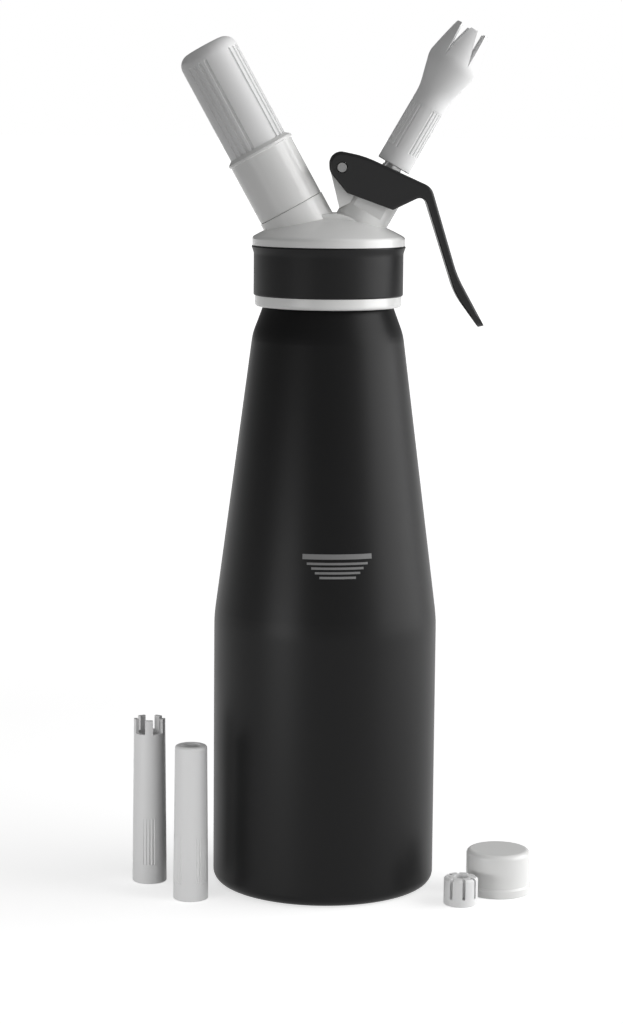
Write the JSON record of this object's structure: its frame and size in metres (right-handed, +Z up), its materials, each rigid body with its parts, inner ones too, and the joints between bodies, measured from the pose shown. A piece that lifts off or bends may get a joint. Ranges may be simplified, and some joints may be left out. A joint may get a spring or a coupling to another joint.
{
  "type": "whipped cream dispenser",
  "caption": "Free-standing cream whipping bottle with a screw-on head, gas charger holder, squeeze lever valve, tulip nozzle and loose tips.",
  "frame": {"origin": "centre of the bottle's flat base, on the table", "axes": "+Z up along the bottle, +X to the side that the lever hangs on, -Y to the front with the fill mark"},
  "size_m": [0.1623, 0.09, 0.3479],
  "materials": {
    "bottle_coat": "soft black satin coat",
    "head_white": "glossy white moulding",
    "grip_silicone": "matte black silicone",
    "seal_silicone": "pale silicone",
    "seal_black": "black rubber",
    "brass": "turned",
    "steel": "turned",
    "charger_steel": "plated",
    "grip_white": "matte white moulding",
    "lever_grey": "dark grey satin coat",
    "tip_white": "matte white moulding"
  },
  "bodies": {
    "bottle": {"bottle": "bottle_coat"},
    "head_carrier": {"head_gasket": "seal_silicone"},
    "head": {"head_shell": "head_white", "grip_band": "grip_silicone", "pin_holder": "brass", "piercing_pin": "steel", "charger_seal": "seal_black", "check_valve_sleeve": "seal_black", "check_valve_nut": "brass", "valve_guide": "brass", "stem_oring": "seal_black", "valve_spring": "steel", "lever_pin": "steel"},
    "charger_carrier": {"gas_charger": "charger_steel"},
    "charger_holder": {"charger_grip": "grip_white", "holder_collar": "head_white"},
    "lever": {"lever": "lever_grey"},
    "valve_stem": {"valve_stem": "steel", "thrust_collar": "steel", "piston_seal": "seal_silicone", "piston_seal_nut": "steel"},
    "nozzle_carrier": {"nozzle_seal": "seal_black"},
    "nozzle": {"tulip_nozzle": "tip_white"},
    "star_tip": {"spare_star_tip": "tip_white"},
    "plain_tip": {"spare_plain_tip": "tip_white"},
    "loose_cap": {"protective_cap": "head_white"},
    "loose_adapter": {"tip_adapter": "tip_white"}
  },
  "joints": [
    {"name": "head_lift", "type": "slide", "parent": "bottle", "child": "head_carrier", "axis": [0, 0, 1], "range_m": [0, 0.015]},
    {"name": "head_turn", "type": "hinge", "parent": "head_carrier", "child": "head", "pos_m": [0, 0, 0.2466], "axis": [0, 0, 1], "range_deg": [0, 1080.5]},
    {"name": "charger_travel", "type": "slide", "parent": "head", "child": "charger_carrier", "axis": [-0.4848, 0, 0.8746], "range_m": [0, 0.012]},
    {"name": "holder_turn", "type": "hinge", "parent": "charger_carrier", "child": "charger_holder", "pos_m": [-0.01508, 0, 0.2738], "axis": [-0.4848, 0, 0.8746], "range_deg": [0, 1440.5]},
    {"name": "lever_squeeze", "type": "hinge", "parent": "head", "child": "lever", "pos_m": [0.00495, 0, 0.2902], "axis": [0, 1, 0], "range_deg": [0, 12], "stiffness_Nm_per_rad": 0.6, "springref_deg": -9.74},
    {"name": "valve_press", "type": "slide", "parent": "head", "child": "valve_stem", "axis": [-0.4955, 0, -0.8686], "range_m": [0, 0.00365], "deforming": ["valve_spring"]},
    {"name": "nozzle_travel", "type": "slide", "parent": "valve_stem", "child": "nozzle_carrier", "axis": [0.4955, 0, 0.8686], "range_m": [0, 0.01]},
    {"name": "nozzle_turn", "type": "hinge", "parent": "nozzle_carrier", "child": "nozzle", "pos_m": [0.02537, 0, 0.29107], "axis": [0.4955, 0, 0.8686], "range_deg": [0, 1800.5]},
    {"name": "star_tip_lift", "type": "slide", "parent": "bottle", "child": "star_tip", "axis": [0, 0, 1], "range_m": [0, 0.1]},
    {"name": "plain_tip_lift", "type": "slide", "parent": "bottle", "child": "plain_tip", "axis": [0, 0, 1], "range_m": [0, 0.1]},
    {"name": "cap_lift", "type": "slide", "parent": "bottle", "child": "loose_cap", "axis": [0, 0, 1], "range_m": [0, 0.1]},
    {"name": "adapter_lift", "type": "slide", "parent": "bottle", "child": "loose_adapter", "axis": [0, 0, 1], "range_m": [0, 0.1]}
  ],
  "couplings": [
    {"joint": "head_turn", "follows": "head_lift", "rad_per_m": 1256.6},
    {"joint": "holder_turn", "follows": "charger_travel", "rad_per_m": 2094.4},
    {"joint": "valve_press", "follows": "lever_squeeze", "m_per_rad": 0.0172},
    {"joint": "nozzle_turn", "follows": "nozzle_travel", "rad_per_m": 3141.6}
  ]
}
